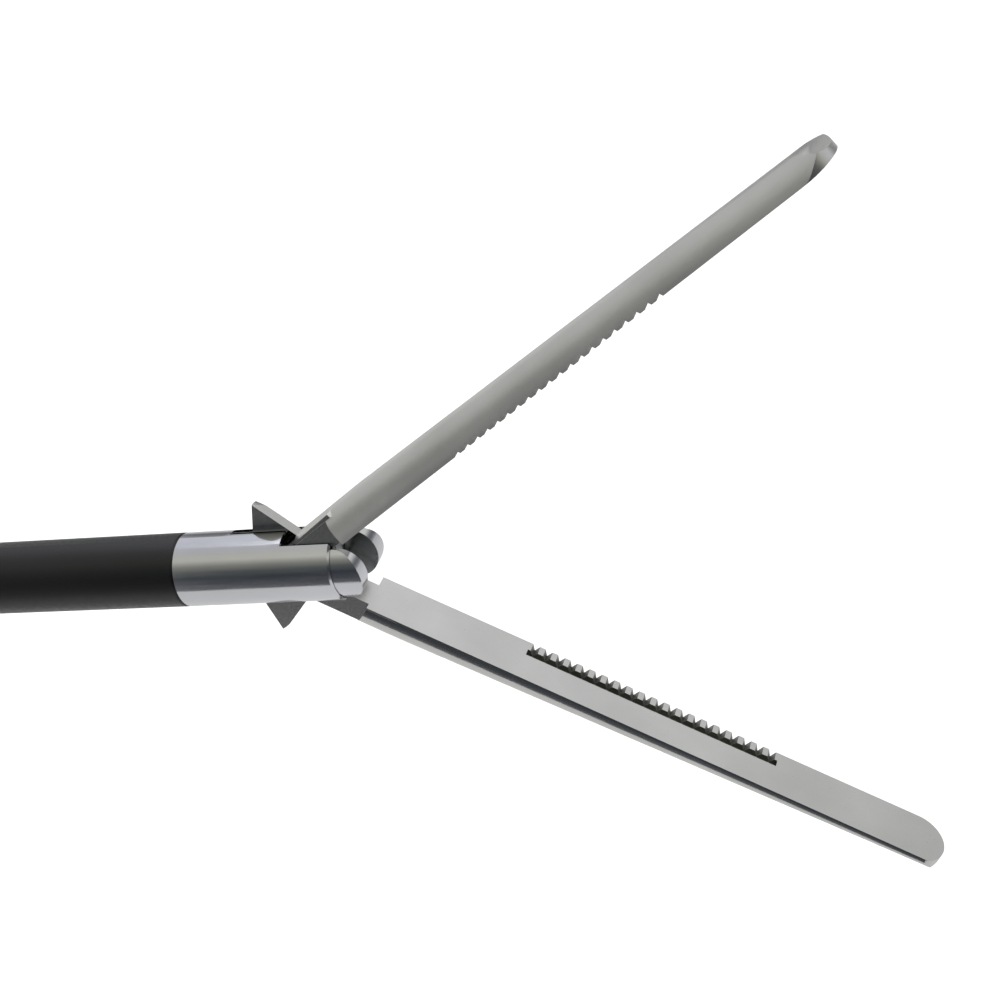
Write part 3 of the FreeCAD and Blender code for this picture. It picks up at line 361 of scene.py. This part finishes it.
def floor():
    """White paper far below the jaws.

    It is white to the camera and dim in the steel, and it keeps the faint shadow of the
    instrument, because its lit part stays under the white."""
    work = bmesh.new()
    half_depth = (FLOOR_BACK - FLOOR_FRONT) / 2
    middle = Matrix.Translation((0.0, FLOOR_FRONT + half_depth, FLOOR_LEVEL))
    spread = Matrix.Diagonal((FLOOR_HALF_WIDTH, half_depth, 1.0, 1.0))
    bmesh.ops.create_grid(work, x_segments=1, y_segments=1, size=1.0, matrix=middle @ spread)
    mesh = bpy.data.meshes.new("floor")
    work.to_mesh(mesh)
    work.free()
    made = bpy.data.objects.new("floor", mesh)
    bpy.context.scene.collection.objects.link(made)
    look, tree, shader, place = start("white_paper_floor", in_Roughness=0.9)
    cloud = node(tree, "ShaderNodeTexNoise", [("Vector", place)], in_Scale=3.0, in_Detail=2.0)
    tone = ramp(tree, cloud.outputs[0],
                [(LOW_LEVEL, linear("#f4f4f4")), (HIGH_LEVEL, linear("#fafafa"))])
    tree.links.new(tone, shader.inputs["Base Color"])
    ray = node(tree, "ShaderNodeLightPath")
    steel = node(tree, "ShaderNodeMath", [(0, ray.outputs["Is Glossy Ray"])], operation="MULTIPLY")
    steel.inputs[1].default_value = FLOOR_IN_STEEL
    both = node(tree, "ShaderNodeMath", [(0, ray.outputs["Is Camera Ray"]), (1, steel.outputs[0])],
                operation="MAXIMUM")
    glow = node(tree, "ShaderNodeMath", [(0, both.outputs[0])], operation="MULTIPLY")
    glow.inputs[1].default_value = FLOOR_GLOW
    shader.inputs["Emission Color"].default_value = grey(1.0)
    tree.links.new(glow.outputs[0], shader.inputs["Emission Strength"])
    mesh.materials.append(look)


floor()

# The studio around the instrument, as (degrees, level, tone). The degrees run from the back
# under the instrument to the front at 0, and over the top at 90 to the back again: dark in
# front at eye level, with a broad pale ceiling, and a dim band low at the back.
ROUND = [(-180, 0.60, "#f4f2ee"), (-60, 0.44, "#f4f2ee"), (-36, 0.16, "#e9eaee"),
         (-16, 0.10, "#d3daec"), (3, 0.07, "#cdd8e8"), (22, 0.13, "#e4ecec"),
         (40, 0.32, "#f2f2e6"), (58, 0.72, "#f4f2e6"), (75, 0.68, "#f2f1ea"),
         (92, 0.68, "#eeeef2"), (110, 0.76, "#ecedf8"), (135, 0.88, "#ecedf8"),
         (149, 0.90, "#f2f2ee"), (159, 0.28, "#e8e9f0"), (167, 0.16, "#e4e6f0"),
         (180, 0.45, "#e4e6f0")]
# Towards the shaft the room is brighter and more even, as the upper jaw shows it.
SHAFT_SIDE = [(-180, 0.90, "#f4f4f2"), (-60, 0.55, "#f2f2f0"), (-28, 0.62, "#f2f2f0"),
              (-12, 0.44, "#f0f0f0"), (10, 0.34, "#f0f0f0"), (38, 0.36, "#f0f0f0"),
              (65, 0.52, "#f2f2f0"), (117, 0.66, "#f0f0f2"), (150, 0.60, "#f0f0f2"),
              (180, 0.85, "#f4f4f2")]
# The shaft's side begins at the first of these and is reached at the second, as the
# lengthwise part of a direction.
SHAFT_SIDE_FROM = -0.46
SHAFT_SIDE_TO = -0.62


def room(tree, share, stops):
    """The room's brightness over the angle, which runs from 0 to 1 for -180 to 180 degrees."""
    return ramp(tree, share,
                [((at + 180) / 360, tuple(level * c for c in linear(tone)[:3]) + (1.0,))
                 for at, level, tone in stops])


def studio():
    """The world: the room to the light and the steel, plain white to the camera."""
    world = bpy.data.worlds.new("studio")
    bpy.context.scene.world = world
    world.use_nodes = True
    tree = world.node_tree
    tree.nodes.clear()
    way = node(tree, "ShaderNodeTexCoord")
    parts = node(tree, "ShaderNodeSeparateXYZ", [(0, way.outputs["Generated"])])
    front = node(tree, "ShaderNodeMath", [(0, parts.outputs["Y"])], operation="MULTIPLY")
    front.inputs[1].default_value = -1.0
    angle = node(tree, "ShaderNodeMath", [(0, parts.outputs["Z"]), (1, front.outputs[0])],
                 operation="ARCTAN2")
    turn = node(tree, "ShaderNodeMath", [(0, angle.outputs[0])], operation="DIVIDE")
    turn.inputs[1].default_value = 2 * math.pi
    share = node(tree, "ShaderNodeMath", [(0, turn.outputs[0])], operation="ADD")
    share.inputs[1].default_value = 0.5
    lean = node(tree, "ShaderNodeMapRange", [(0, parts.outputs["X"])],
                interpolation_type="SMOOTHSTEP")
    for number, value in enumerate((SHAFT_SIDE_FROM, SHAFT_SIDE_TO, 0.0, 1.0), start=1):
        lean.inputs[number].default_value = value
    sides = node(tree, "ShaderNodeMix",
                 [(0, lean.outputs[0]), (6, room(tree, share.outputs[0], ROUND)),
                  (7, room(tree, share.outputs[0], SHAFT_SIDE))], data_type="RGBA")
    path = node(tree, "ShaderNodeLightPath")
    white = node(tree, "ShaderNodeBackground", in_Color=grey(1.0), in_Strength=1.0)
    dim = node(tree, "ShaderNodeBackground", [("Color", sides.outputs[2])], in_Strength=1.0)
    mix = node(tree, "ShaderNodeMixShader",
               [(0, path.outputs["Is Camera Ray"]), (1, dim.outputs[0]), (2, white.outputs[0])])
    node(tree, "ShaderNodeOutputWorld", [("Surface", mix.outputs[0])])


studio()

SOFT_BOX_PLACE = Vector((0.05, 0.22, 0.55))
SOFT_BOX_AIM = Vector((0.012, 0.0, 0.0))
SOFT_BOX_SIZE = (0.7, 0.35)
SOFT_BOX_WATTS = 0.9


def soft_box():
    """One broad soft light over the back, as the pale streaks on the sleeve show."""
    light = bpy.data.lights.new("soft_box", "AREA")
    light.shape = "RECTANGLE"
    light.size = SOFT_BOX_SIZE[0]
    light.size_y = SOFT_BOX_SIZE[1]
    light.energy = SOFT_BOX_WATTS
    made = bpy.data.objects.new("soft_box", light)
    bpy.context.scene.collection.objects.link(made)
    made.location = SOFT_BOX_PLACE
    made.rotation_euler = (SOFT_BOX_AIM - SOFT_BOX_PLACE).to_track_quat("-Z", "Y").to_euler()


soft_box()

# The photograph's view, fitted to the outlines of the shaft, the sleeve and both jaws:
# degrees; the distance from the camera to the pivot along the view, metres; pixels a metre
# at that distance; and how far right of the pivot and above it the camera points, metres.
VIEW = {"turn": 20.12, "rise": 31.72, "roll": 3.25, "far": 0.12642,
        "scale": 15177, "right": 0.012929, "up": 0.003479}
PICTURE = 1000
SENSOR_MM = 36.0
SEES_FROM = 0.001
SEES_TO = 20.0


def camera():
    """The camera that VIEW describes."""
    turn = math.radians(VIEW["turn"])
    rise = math.radians(VIEW["rise"])
    roll = math.radians(VIEW["roll"])
    right = Vector((math.cos(turn), math.sin(turn) * math.cos(rise),
                    -math.sin(turn) * math.sin(rise)))
    up = Vector((0.0, math.sin(rise), math.cos(rise)))
    back = right.cross(up)
    centre = PIVOT + right * VIEW["right"] + up * VIEW["up"]
    data = bpy.data.cameras.new("photo")
    data.sensor_width = SENSOR_MM
    data.lens = SENSOR_MM * VIEW["scale"] * VIEW["far"] / PICTURE
    data.clip_start = SEES_FROM
    data.clip_end = SEES_TO
    made = bpy.data.objects.new("photo", data)
    bpy.context.scene.collection.objects.link(made)
    across = right * math.cos(roll) - up * math.sin(roll)
    upward = right * math.sin(roll) + up * math.cos(roll)
    turned = Matrix((across, upward, back)).transposed().to_4x4()
    made.matrix_world = Matrix.Translation(centre + back * VIEW["far"]) @ turned
    bpy.context.scene.camera = made


camera()
bpy.context.scene.view_settings.view_transform = "Standard"
